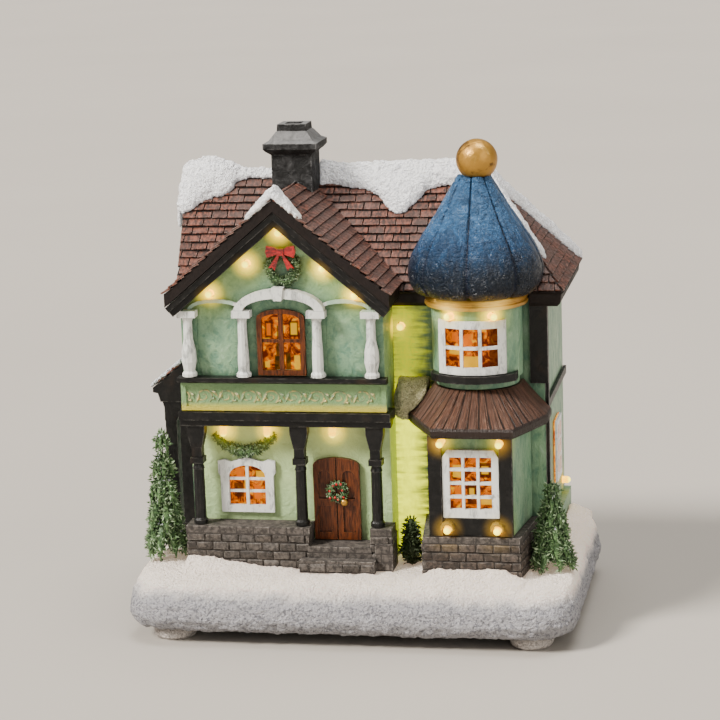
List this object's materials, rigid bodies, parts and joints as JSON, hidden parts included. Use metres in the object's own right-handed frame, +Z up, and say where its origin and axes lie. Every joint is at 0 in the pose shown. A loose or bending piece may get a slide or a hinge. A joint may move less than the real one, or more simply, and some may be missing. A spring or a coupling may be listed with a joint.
{
  "type": "lit christmas village house",
  "caption": "Lit Christmas village house with an onion-domed tower, a gabled porch wing, a hipped tile roof and snow, on a battery-powered base",
  "frame": {"origin": "on the floor under the middle of the snowy base", "axes": "X to the right, Y to the back, Z up"},
  "size_m": [0.1812, 0.1282, 0.2002],
  "materials": {
    "snow": "rough cast resin with white snow paint and coarse grit",
    "mint": "brush-textured cast resin, satin mint paint",
    "tile": "cast resin tiles, reddish-brown paint, dry-brushed grey",
    "timber": "cast resin trim, satin black paint",
    "white_trim": "cast resin trim, satin white paint",
    "stone": "cast resin stonework, matte grey paint with dark joints",
    "door_wood": "cast resin joinery, satin brown paint",
    "green": "cast resin foliage, matte dark green paint",
    "red": "satin red paint",
    "dome_blue": "cast resin, pearly blue paint",
    "gold": "cast resin, worn metallic gold paint",
    "film": "translucent printed film, lit from behind",
    "plank": "cast resin boards, matte brown paint",
    "bulb": "clear warm-white lamp resin, lit",
    "plastic": "moulded black plastic, fine texture",
    "steel": "plated spring steel",
    "cell_jacket": "plain printed cell jacket"
  },
  "bodies": {
    "house": {"snow_base": "snow", "foot_front_left": "snow", "foot_front_right": "snow", "foot_rear_left": "snow", "foot_rear_right": "snow", "roof_snow_left": "snow", "roof_snow_right": "snow", "gable_snow": "snow", "recess_snow": "snow", "base_plate": "plastic", "battery_box": "plastic", "battery_cell_1": "cell_jacket", "battery_cell_2": "cell_jacket", "battery_cell_3": "cell_jacket", "battery_contact_left": "steel", "battery_contact_right": "steel", "switch_body": "steel", "house_walls": "mint", "wing_walls": "mint", "bay_walls": "mint", "tower_walls": "mint", "side_window": "white_trim", "balcony_arcade": "white_trim", "porch_window_frame": "white_trim", "tower_lower_frame": "white_trim", "tower_upper_frame": "white_trim", "corner_post": "timber", "gable_bargeboards": "timber", "balcony_ledge": "timber", "porch_beam": "timber", "porch_column_left": "timber", "porch_column_middle": "timber", "porch_column_right": "timber", "side_porch": "timber", "bay_timbers": "timber", "tower_sill": "timber", "main_roof": "tile", "wing_roof": "tile", "gable_casement": "door_wood", "front_door": "door_wood", "gable_window_film": "film", "porch_window_film": "film", "tower_lower_film": "film", "tower_upper_film": "film", "gable_wreath": "green", "window_garland": "green", "tree_left": "green", "tree_right": "green", "bush": "green", "gable_bow": "red", "porch_stonework": "stone", "tower_plinth": "stone", "chimney": "stone", "tower_awning": "plank", "onion_dome": "dome_blue", "gold_ring": "gold", "finial_ball": "gold", "light_string": "bulb"},
    "cover": {"battery_door": "plastic"},
    "switch": {"switch_knob": "plastic"}
  },
  "joints": [
    {"name": "cover_slide", "type": "slide", "parent": "house", "child": "cover", "axis": [1, 0, 0], "range_m": [0, 0.056]},
    {"name": "switch_slide", "type": "slide", "parent": "house", "child": "switch", "axis": [1, 0, 0], "range_m": [0, 0.004]}
  ]
}
